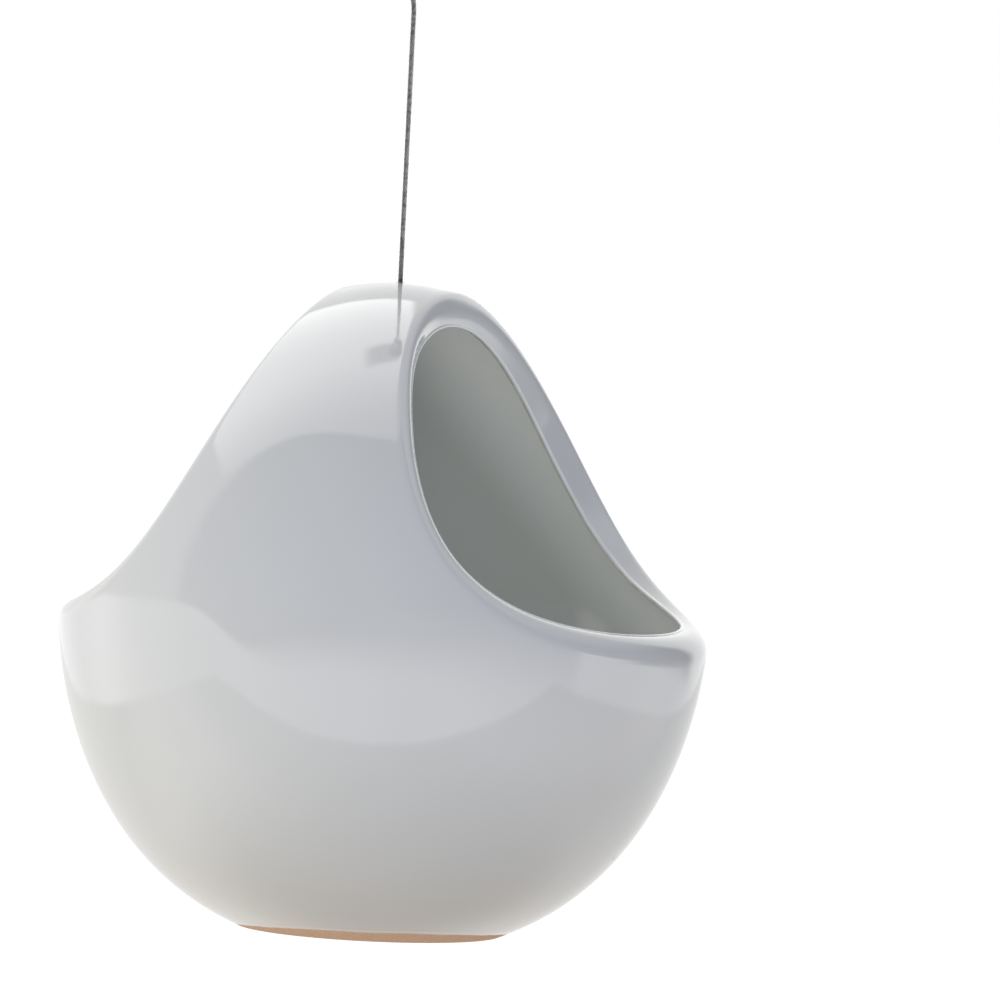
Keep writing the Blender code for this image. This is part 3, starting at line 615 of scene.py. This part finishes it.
def add_hook():
    """The hook in one sweep: a ring of points at each place of the middle line, whose radius makes the
    screw's point and thread, the collar, the rod and its rounded tip."""
    top = HOOK_HIGH.z
    bend_z = HOOK_LOW.z + HOOK_ROD_RADIUS + HOOK_BEND_RADIUS
    angle = np.linspace(0, 2 * math.pi, TUBE_SIDES, endpoint=False)
    screw_z = np.linspace(top, 0, 340)
    share = np.clip((top - screw_z) / SCREW_POINT, 0, 1)
    body = (SCREW_RADIUS - THREAD_DEPTH) * np.sqrt(share)
    climb = (screw_z[:, None] / THREAD_PITCH + angle / (2 * math.pi)) % 1
    ridge = np.clip(1 - np.abs(climb - 0.5) / THREAD_HALF_WIDTH, 0, 1) ** 0.8
    fade = np.clip(screw_z / THREAD_FADE, 0, 1) * np.clip(share * 1.3, 0, 1)
    radii = [body[:, None] + THREAD_DEPTH * fade[:, None] * ridge]
    places = [np.stack([0 * screw_z, 0 * screw_z, screw_z], -1)]
    dome = np.linspace(0, math.pi / 2, 12)
    rim = np.linspace(0, math.pi / 2, 5)
    collar = [(SCREW_RADIUS - THREAD_DEPTH, 0.0), (COLLAR_RADIUS - EDGE_BREAK, 0.0)]
    collar += [(COLLAR_RADIUS - EDGE_BREAK * (1 - math.sin(b)), -EDGE_BREAK * (1 - math.cos(b)))
               for b in rim[1:]]
    collar += [(COLLAR_RADIUS - COLLAR_DOME * (1 - math.cos(b)),
                -COLLAR_LAND - (COLLAR_THICKNESS - COLLAR_LAND) * math.sin(b)) for b in dome]
    collar += [(HOOK_ROD_RADIUS + ROD_FILLET * (1 - math.sin(b)),
                -COLLAR_THICKNESS - ROD_FILLET * (1 - math.cos(b))) for b in rim]
    collar = np.array(collar)
    radii.append(np.repeat(collar[:, :1], len(angle), 1))
    places.append(np.stack([0 * collar[:, 1], 0 * collar[:, 1], collar[:, 1]], -1))
    rod = spaced(hook_route(bend_z), ROD_STEP)[2:]
    left = np.linalg.norm(rod - rod[-1], axis=1)
    end = HOOK_ROD_RADIUS * np.sqrt(np.clip(1 - (1 - left / HOOK_ROD_RADIUS).clip(0, 1) ** 2, 0, 1))
    radii.append(np.repeat(end[:, None], len(angle), 1))
    places.append(rod)
    places, radii = np.concatenate(places), np.concatenate(radii)
    down = np.tile([0, 0, -1.0], (len(places) - len(rod), 1))
    along = np.concatenate([down, unit(np.gradient(rod, axis=0))])
    up = np.cross(along, [1.0, 0, 0])
    rings = (places[:, None] + (radii * np.cos(angle))[..., None] * np.array([1.0, 0, 0])
             + (radii * np.sin(angle))[..., None] * up[:, None])
    add_piece("screw_hook", closed_tube("screw_hook", rings), "ceiling", ["ceiling_hook"],
              metal("hook_steel"))


def hook_route(bend_z):
    """Middle line of the hook's rod in the YZ plane: from the collar, over the shoulder, round the bend."""
    rise = math.sqrt(HOOK_BEND_RADIUS ** 2 + 2 * HOOK_BEND_RADIUS * HOOK_SHOULDER_RADIUS)
    start = math.atan2(rise, HOOK_SHOULDER_RADIUS)
    shoulder = np.linspace(math.pi, math.pi + start, 60)
    bend = np.linspace(start, math.radians(HOOK_TIP_ANGLE), 240)
    first = np.stack([0 * shoulder, HOOK_SHOULDER_RADIUS * (1 + np.cos(shoulder)),
                      rise + HOOK_SHOULDER_RADIUS * np.sin(shoulder)], -1)
    second = np.stack([0 * bend, HOOK_BEND_RADIUS * np.cos(bend), HOOK_BEND_RADIUS * np.sin(bend)], -1)
    line = np.concatenate([[(0, 0, -bend_z - COLLAR_THICKNESS - ROD_FILLET)], first, second[1:]])
    return line + [0, 0, bend_z]


# Materials
def start_material(name, colour, roughness, metallic=0.0):
    made = bpy.data.materials.new(name)
    made.use_nodes = True
    tree = made.node_tree
    shader = tree.nodes["Principled BSDF"]
    shader.inputs["Base Color"].default_value = (*colour, 1)
    shader.inputs["Roughness"].default_value = roughness
    shader.inputs["Metallic"].default_value = metallic
    return made, tree, shader


def set_input(tree, socket, value):
    if isinstance(value, bpy.types.NodeSocket):
        tree.links.new(value, socket)
    elif value is not None:
        socket.default_value = value


def calc(tree, operation, *values):
    """Math node on one to three values."""
    made = tree.nodes.new("ShaderNodeMath")
    made.operation = operation
    for socket, value in zip(made.inputs, values):
        set_input(tree, socket, value)
    return made.outputs[0]


def times(tree, *values):
    """Product of the values, in their order."""
    made = values[0]
    for value in values[1:]:
        made = calc(tree, "MULTIPLY", made, value)
    return made


def ease(tree, value, low, high, to_low=0.0, to_high=1.0):
    """Smooth step of a value between two limits."""
    made = tree.nodes.new("ShaderNodeMapRange")
    made.interpolation_type = "SMOOTHSTEP"
    set_input(tree, made.inputs["Value"], value)
    for key, number in (("From Min", low), ("From Max", high), ("To Min", to_low), ("To Max", to_high)):
        made.inputs[key].default_value = number
    return made.outputs[0]


def mix(tree, share, below, above):
    """Colour mix by a share from 0 to 1."""
    made = tree.nodes.new("ShaderNodeMix")
    made.data_type = "RGBA"
    colours = [c for c in made.inputs if c.type == "RGBA"]
    set_input(tree, made.inputs["Factor"], share)
    for socket, colour in zip(colours, (below, above)):
        set_input(tree, socket, (*colour, 1) if isinstance(colour, tuple) and len(colour) == 3 else colour)
    return next(c for c in made.outputs if c.type == "RGBA")


def noise(tree, place, scale, detail=2.0, rough=0.5):
    made = tree.nodes.new("ShaderNodeTexNoise")
    set_input(tree, made.inputs["Vector"], place)
    made.inputs["Scale"].default_value = scale
    made.inputs["Detail"].default_value = detail
    made.inputs["Roughness"].default_value = rough
    return made.outputs["Fac"]


def bump(tree, height, distance, under=None):
    made = tree.nodes.new("ShaderNodeBump")
    made.inputs["Strength"].default_value = 1.0
    made.inputs["Distance"].default_value = distance
    set_input(tree, made.inputs["Height"], height)
    set_input(tree, made.inputs["Normal"], under)
    return made.outputs[0]


def object_place(tree):
    return tree.nodes.new("ShaderNodeTexCoord").outputs["Object"]


def height_of(tree, place, direction):
    """Component of a place along a fixed direction."""
    made = tree.nodes.new("ShaderNodeVectorMath")
    made.operation = "DOT_PRODUCT"
    set_input(tree, made.inputs[0], place)
    made.inputs[1].default_value = direction
    return made.outputs["Value"]


def glaze_material():
    """White glaze with slow tone changes and iron specks, a painted highlight on the trimmed edges' bead
    with thin glaze under it, painted shade and light inside, and ending above the foot's bare clay."""
    made, tree, shader = start_material("white_glaze", GLAZE["mean"], GLAZE_ROUGHNESS)
    shader.inputs["IOR"].default_value = GLAZE_IOR
    place = object_place(tree)
    slow = noise(tree, place, 22.0, 3.0)
    fine = noise(tree, place, 700.0, 2.0)
    glaze = mix(tree, slow, GLAZE["white"], GLAZE["greyer"])

    # Iron specks under the glaze, a few per hand's breadth, and a larger one low on the right
    cells = tree.nodes.new("ShaderNodeTexVoronoi")
    cells.inputs["Scale"].default_value = 42.0
    set_input(tree, cells.inputs["Vector"], place)
    split = tree.nodes.new("ShaderNodeSeparateColor")
    tree.links.new(cells.outputs["Color"], split.inputs[0])
    chosen = calc(tree, "GREATER_THAN", split.outputs[0], 0.86)
    dot = ease(tree, cells.outputs["Distance"], 0.012, 0.028, 1.0, 0.0)
    glaze = mix(tree, times(tree, chosen, dot, 0.55), glaze, GLAZE["iron"])
    away = tree.nodes.new("ShaderNodeVectorMath")
    away.operation = "DISTANCE"
    set_input(tree, away.inputs[0], place)
    away.inputs[1].default_value = IRON_SPOT
    large = ease(tree, away.outputs["Value"], 0.0006, 0.0010, 1.0, 0.0)
    glaze = mix(tree, large, glaze, GLAZE["large_iron"])

    # The edge's bead is whitened: a painted highlight standing in for its glint. Under it the glaze runs
    # thin, where the warm clay shows faintly
    attribute = tree.nodes.new("ShaderNodeAttribute")
    attribute.attribute_name = "edge"
    edge = attribute.outputs["Fac"]
    broken = ease(tree, noise(tree, place, 160.0, 3.0), 0.35, 0.65)
    bead_painted_highlight = times(tree, ease(tree, edge, 0.02, 0.35), ease(tree, edge, 0.75, 0.92, 1.0, 0.0))
    glaze = mix(tree, bead_painted_highlight, glaze, GLAZE["bead_painted_highlight"])
    thin = times(tree, ease(tree, edge, 0.75, 1.0), calc(tree, "MULTIPLY_ADD", broken, 0.35, 0.18))
    glaze = mix(tree, thin, glaze, GLAZE["thin"])

    # Inside, painted shade and light: the glaze colour darkens towards the bottom and the left and lightens
    # to the right, in place of the shade that falls there
    inside = ease(tree, edge, -0.9, -0.1, 1.0, 0.0)
    along = height_of(tree, place, (*(INSIDE_SHADE_RIGHT * RIGHT).xy, INSIDE_SHADE_UP))
    low = ease(tree, along, INSIDE_SHADE_UP * CROWN_Z - 0.024, INSIDE_SHADE_UP * CROWN_Z + 0.006, 1.0, 0.0)
    glaze = mix(tree, inside, glaze, mix(tree, low, GLAZE["inside_painted_light"], GLAZE["inside_painted_shade"]))

    # Tilted glaze line round the foot, as the pot was dipped
    line = height_of(tree, place, (-DIP_TILT * TOWARD.x - DIP_TURN * RIGHT.x,
                                   -DIP_TILT * TOWARD.y - DIP_TURN * RIGHT.y, 1.0))
    level = height_of(tree, place, (0, 0, 1.0))
    wander = times(tree, noise(tree, place, 95.0, 3.0), DIP_WANDER)
    above = calc(tree, "SUBTRACT", line, FOOT_Z + DIP_HEIGHT)
    bare = calc(tree, "SUBTRACT", level, FOOT_Z + BARE_HEIGHT)
    clear = calc(tree, "ADD", calc(tree, "MINIMUM", above, bare), wander)
    glazed = ease(tree, clear, -0.00022, 0.00022)
    rind = ease(tree, clear, 0.0001, 0.0022, 1.0, 0.0)
    near = ease(tree, level, FOOT_Z, FOOT_Z + 0.035, 0.6, 0.0)
    grit = noise(tree, place, 1500.0, 3.0, 0.7)
    blotch = noise(tree, place, 60.0, 3.0)
    clay = mix(tree, blotch, CLAY["pale"], CLAY["warm"])
    clay = mix(tree, ease(tree, grit, 0.35, 0.70), clay, CLAY["grit"])
    glaze = mix(tree, near, glaze, GLAZE["by_the_foot"])
    glaze = mix(tree, times(tree, rind, 0.35), glaze, GLAZE["at_its_line"])
    tree.links.new(mix(tree, glazed, clay, glaze), shader.inputs["Base Color"])
    rough = tree.nodes.new("ShaderNodeMapRange")
    set_input(tree, rough.inputs["Value"], glazed)
    rough.inputs["To Min"].default_value = CLAY_ROUGHNESS
    rough.inputs["To Max"].default_value = GLAZE_ROUGHNESS
    haze = calc(tree, "MULTIPLY_ADD", fine, 0.02, -0.01)
    tree.links.new(calc(tree, "ADD", rough.outputs[0], haze), shader.inputs["Roughness"])

    # Slow unevenness of the cast wall, the glaze's rolled edge at its line, and the clay's grain
    uneven = bump(tree, noise(tree, place, 26.0, 2.0), 0.00022)
    step = bump(tree, ease(tree, clear, -0.0003, 0.0009), 0.00012, uneven)
    grain = times(tree, grit, calc(tree, "SUBTRACT", 1.0, glazed))
    tree.links.new(bump(tree, grain, 0.00018, step), shader.inputs["Normal"])
    return made


def metal_grain():
    """Shared finish of the metal pieces: small scuffs as a mask and a fine grain as a height."""
    group = bpy.data.node_groups.new("metal_grain", "ShaderNodeTree")
    sockets = (("Place", "INPUT", "NodeSocketVector"), ("Scale", "INPUT", "NodeSocketFloat"),
               ("Scuffs", "OUTPUT", "NodeSocketFloat"), ("Height", "OUTPUT", "NodeSocketFloat"))
    for name, way, kind in sockets:
        group.interface.new_socket(name, in_out=way, socket_type=kind)
    start = group.nodes.new("NodeGroupInput")
    end = group.nodes.new("NodeGroupOutput")
    coarse = group.nodes.new("ShaderNodeTexNoise")
    fine = group.nodes.new("ShaderNodeTexNoise")
    coarse.inputs["Detail"].default_value = 5.0
    fine.inputs["Detail"].default_value = 3.0
    for tex, factor in ((coarse, 1.0), (fine, 6.0)):
        group.links.new(start.outputs["Place"], tex.inputs["Vector"])
        group.links.new(times(group, start.outputs["Scale"], factor), tex.inputs["Scale"])
    group.links.new(ease(group, coarse.outputs["Fac"], 0.38, 0.68), end.inputs["Scuffs"])
    group.links.new(fine.outputs["Fac"], end.inputs["Height"])
    return group


def metal(name):
    """One of the metals, whose colour and roughness change with the shared grain."""
    light, dark, roughness, scale, relief = METALS[name]
    made, tree, shader = start_material(name, light, roughness, 1.0)
    grain = tree.nodes.new("ShaderNodeGroup")
    grain.node_tree = bpy.data.node_groups.get("metal_grain") or metal_grain()
    grain.inputs["Scale"].default_value = scale
    tree.links.new(object_place(tree), grain.inputs["Place"])
    tree.links.new(mix(tree, grain.outputs["Scuffs"], light, dark), shader.inputs["Base Color"])
    change = tree.nodes.new("ShaderNodeMapRange")
    tree.links.new(grain.outputs["Scuffs"], change.inputs["Value"])
    change.inputs["To Min"].default_value = roughness - 0.06
    change.inputs["To Max"].default_value = roughness + 0.08
    tree.links.new(change.outputs[0], shader.inputs["Roughness"])
    tree.links.new(bump(tree, grain.outputs["Height"], relief), shader.inputs["Normal"])
    return made


def alloy():
    """The crimped fittings' alloy: the frame's own plain material of that name, or else the one above."""
    return bpy.data.materials.get("crimp_alloy") or metal("crimp_alloy")


def rubber_material():
    """Matt black rubber with a powdery bloom."""
    made, tree, shader = start_material("black_rubber", (0.025, 0.025, 0.026), 0.72)
    place = object_place(tree)
    bloom = ease(tree, noise(tree, place, 420.0, 4.0), 0.45, 0.75)
    bloom = mix(tree, bloom, (0.022, 0.022, 0.023), (0.055, 0.054, 0.052))
    tree.links.new(bloom, shader.inputs["Base Color"])
    tree.links.new(bump(tree, noise(tree, place, 2600.0, 2.0), 0.00002), shader.inputs["Normal"])
    return made


# Stage: camera, surroundings and lamps
def add_camera():
    """The camera looks at the pot from a little above, rolled by the angle at which the photo leans."""
    toward = TOWARD * math.cos(CAMERA_PITCH) + Vector((0, 0, math.sin(CAMERA_PITCH)))
    up = Vector((0, 0, math.cos(CAMERA_PITCH))) - TOWARD * math.sin(CAMERA_PITCH)
    foot = Vector((0, 0, FOOT_Z))
    place = foot + CAMERA_DISTANCE * toward + CAMERA_HEIGHT * up
    aim = foot + AIM_RIGHT * RIGHT + AIM_HEIGHT * up
    back = (place - aim).normalized()
    side = up.cross(back).normalized()
    turn = Matrix((side, back.cross(side), back)).transposed()
    turn = turn @ Matrix.Rotation(CAMERA_ROLL, 3, "Z")
    data = bpy.data.cameras.new("photo_camera")
    data.lens = FOCAL_LENGTH
    data.sensor_width = SENSOR
    data.clip_end = 200
    camera = bpy.data.objects.new("photo_camera", data)
    bpy.context.scene.collection.objects.link(camera)
    camera.matrix_world = Matrix.Translation(place) @ turn.to_4x4()
    bpy.context.scene.camera = camera


def add_softbox():
    """Large overhead lamp, left of the pot and behind it. The glaze mirrors it through the world's map."""
    data = bpy.data.lights.new("overhead_softbox", "AREA")
    data.shape = "RECTANGLE"
    data.size, data.size_y = SOFTBOX_SIZE
    data.energy = SOFTBOX_RADIANCE * math.pi * data.size * data.size_y
    lamp = bpy.data.objects.new("overhead_softbox", data)
    bpy.context.scene.collection.objects.link(lamp)
    lamp.location = SOFTBOX_ASIDE * (RIGHT + TOWARD) + Vector((0, 0, FOOT_Z + SOFTBOX_RISE))
    lamp.rotation_euler.z = CAMERA_TURN
    lamp.visible_camera = False
    lamp.visible_glossy = False


def add_floor():
    """Pale floor that shows the pot's soft shadow. To the camera it is lifted to the background's white."""
    rings = np.linspace(0, FLOOR_RADIUS, 3)[:, None]
    bearing = np.linspace(0, 2 * math.pi, 97)
    level = 0 * rings + 0 * bearing + FLOOR_Z
    points = np.stack([rings * np.sin(bearing), rings * np.cos(bearing), level], -1)
    floor = bpy.data.objects.new("pale_floor", join_patches("pale_floor", [(points, 0.0)]))
    bpy.context.scene.collection.objects.link(floor)
    finish, tree, shader = start_material("pale_floor", (0.88, 0.88, 0.88), 0.9)
    shader.inputs["Specular IOR Level"].default_value = 0.0
    shader.inputs["Emission Color"].default_value = (1, 1, 1, 1)
    seen = tree.nodes.new("ShaderNodeLightPath").outputs["Is Camera Ray"]
    tree.links.new(times(tree, seen, FLOOR_LIFT), shader.inputs["Emission Strength"])
    floor.data.materials.append(finish)
    floor.visible_glossy = False
    floor.visible_diffuse = False


def band(tree, value, low, high, soft):
    """1 between two limits, 0 outside them, with soft edges."""
    return times(tree, ease(tree, value, low - soft, low + soft),
                 ease(tree, value, high - soft, high + soft, 1.0, 0.0))


def mirrored_studio(tree, way):
    """What the glaze mirrors: the studio's parts as colours in regions of direction. A flat thing above or
    below is a region of u = right / |up| and v = toward / |up|, and a wall one of bearing and height."""
    right = height_of(tree, way, tuple(RIGHT))
    toward = height_of(tree, way, tuple(TOWARD))
    up = height_of(tree, way, (0, 0, 1.0))
    flat = calc(tree, "MAXIMUM", calc(tree, "ABSOLUTE", up), 0.02)
    u, v = calc(tree, "DIVIDE", right, flat), calc(tree, "DIVIDE", toward, flat)
    bearing = times(tree, calc(tree, "ARCTAN2", right, toward), 180 / math.pi)
    height = times(tree, calc(tree, "ARCSINE", up), 180 / math.pi)

    # Walls and ceiling
    colour = mix(tree, ease(tree, height, 20.0, 70.0), STUDIO["back_wall"], STUDIO["ceiling"])
    for name, bearings, heights in WALL_PARTS:
        part = times(tree, band(tree, bearing, *bearings), band(tree, height, *heights))
        colour = mix(tree, part, colour, STUDIO[name])

    # The sweep of pale paper under and round the pot
    below = ease(tree, height, -3.5, -1.0, 1.0, 0.0)
    below = calc(tree, "MAXIMUM", calc(tree, "MINIMUM", below, ease(tree, bearing, 90.0, 110.0, 1.0, 0.0)),
                 ease(tree, height, -10.5, -7.5, 1.0, 0.0))
    sweep = STUDIO["sweep_left"]
    for name, low, high in SWEEP_FADES:
        sweep = mix(tree, ease(tree, bearing, low, high), sweep, STUDIO[name])
    back = ease(tree, toward, -0.75, -0.3, 1.0, 0.0)
    sweep = mix(tree, back, sweep, STUDIO["sweep_back"])
    colour = mix(tree, below, colour, sweep)

    # The board under the pot, with the pot's own shadow on it
    board = times(tree, band(tree, u, -2.62, 3.0, 0.08), ease(tree, v, 1.28, 1.38, 1.0, 0.0),
                  ease(tree, up, -0.12, -0.05, 1.0, 0.0))
    tone = mix(tree, ease(tree, u, -2.6, 1.6), STUDIO["board_left"], STUDIO["board_right"])
    middle = times(tree, ease(tree, v, 0.25, 0.95, 1.0, 0.0), ease(tree, u, -0.7, 0.7, 1.0, 0.0))
    tone = mix(tree, middle, tone, STUDIO["board_middle"])
    tone = mix(tree, ease(tree, v, -1.2, -0.2, 1.0, 0.0), tone, STUDIO["board_back"])
    far = calc(tree, "ADD", u, times(tree, v, 0.6))
    tone = mix(tree, ease(tree, far, 0.9, 2.0), tone, STUDIO["board_end"])
    tone = mix(tree, ease(tree, up, -1.0, -0.55, 1.0, 0.0), tone, STUDIO["board_shadow"])
    colour = mix(tree, board, colour, tone)

    # The dark room before the pot, which ends at a soft skirting
    skirting = calc(tree, "ADD", height, ease(tree, bearing, -74.0, -45.0, 2.5, 13.8))
    soft = calc(tree, "ADD", ease(tree, bearing, -60.0, -25.0, 0.8, 7.5),
                ease(tree, bearing, 8.0, 45.0, 0.0, 3.5))
    skirting = calc(tree, "DIVIDE", skirting, soft)
    room = times(tree, band(tree, bearing, -77.0, 75.0, 3.0), ease(tree, height, 71.5, 74.5, 1.0, 0.0),
                 ease(tree, skirting, -1.0, 1.0))
    shade = mix(tree, ease(tree, height, 5.0, 60.0), STUDIO["room_low"], STUDIO["room_high"])
    foot_glow = times(tree, ease(tree, bearing, -20.0, 5.0), ease(tree, height, -6.0, 6.0, 1.0, 0.0))
    shade = mix(tree, foot_glow, shade, STUDIO["room_foot"])
    colour = mix(tree, room, colour, shade)

    # The softbox overhead and the arm that holds it
    front_edge = calc(tree, "SUBTRACT", v, ease(tree, u, -0.6, 0.1, 0.0, 0.155))
    left_edge = calc(tree, "ADD", u, times(tree, v, 0.35))
    overhead = ease(tree, up, 0.1, 0.2)
    box = times(tree, ease(tree, left_edge, -1.13, -1.07), ease(tree, u, 0.04, 0.08, 1.0, 0.0),
                band(tree, front_edge, -1.42, 0.185, 0.02), overhead)
    glow = mix(tree, ease(tree, v, -0.35, 0.30), STUDIO["softbox_back"], STUDIO["softbox_front"])
    colour = mix(tree, box, colour, glow)
    arm_side = calc(tree, "ADD", v, times(tree, u, 0.5))
    arm = times(tree, band(tree, u, -0.12, 0.02, 0.03), band(tree, arm_side, -0.44, -0.27, 0.03), overhead)
    return mix(tree, arm, colour, STUDIO["lamp_arm"])


def soft_fill(tree, way):
    """Even light for matt surfaces: six colours, each weighed by the squared direction along its axis."""
    total = None
    for axis, plus, minus in ((tuple(RIGHT), "right", "left"), ((0, 0, 1.0), "up", "down"),
                              (tuple(TOWARD), "toward", "behind")):
        along = height_of(tree, way, axis)
        weight = times(tree, along, along)
        shade = mix(tree, ease(tree, along, -0.01, 0.01), FILL[minus], FILL[plus])
        part = tree.nodes.new("ShaderNodeVectorMath")
        part.operation = "SCALE"
        tree.links.new(shade, part.inputs[0])
        tree.links.new(weight, part.inputs["Scale"])
        if total is None:
            total = part.outputs[0]
        else:
            both = tree.nodes.new("ShaderNodeVectorMath")
            tree.links.new(total, both.inputs[0])
            tree.links.new(part.outputs[0], both.inputs[1])
            total = both.outputs[0]
    return total


def add_world():
    """White behind everything; the mirrored studio for glossy rays and an even fill for matt surfaces."""
    world = bpy.data.worlds.new("studio")
    bpy.context.scene.world = world
    world.use_nodes = True
    tree = world.node_tree
    tree.nodes.clear()
    way = tree.nodes.new("ShaderNodeTexCoord").outputs["Generated"]
    path = tree.nodes.new("ShaderNodeLightPath")
    lit = mix(tree, path.outputs["Is Glossy Ray"], soft_fill(tree, way), mirrored_studio(tree, way))
    lit = mix(tree, path.outputs["Is Camera Ray"], lit, (1.0, 1.0, 1.0))
    shine = tree.nodes.new("ShaderNodeBackground")
    tree.links.new(lit, shine.inputs["Color"])
    out = tree.nodes.new("ShaderNodeOutputWorld")
    tree.links.new(shine.outputs[0], out.inputs["Surface"])


add_camera()
add_cable()
add_planter()
add_washers()
add_ferrule()
add_sleeve()
add_hook()
add_floor()
add_world()
add_softbox()
bpy.context.scene.view_settings.view_transform = "Standard"
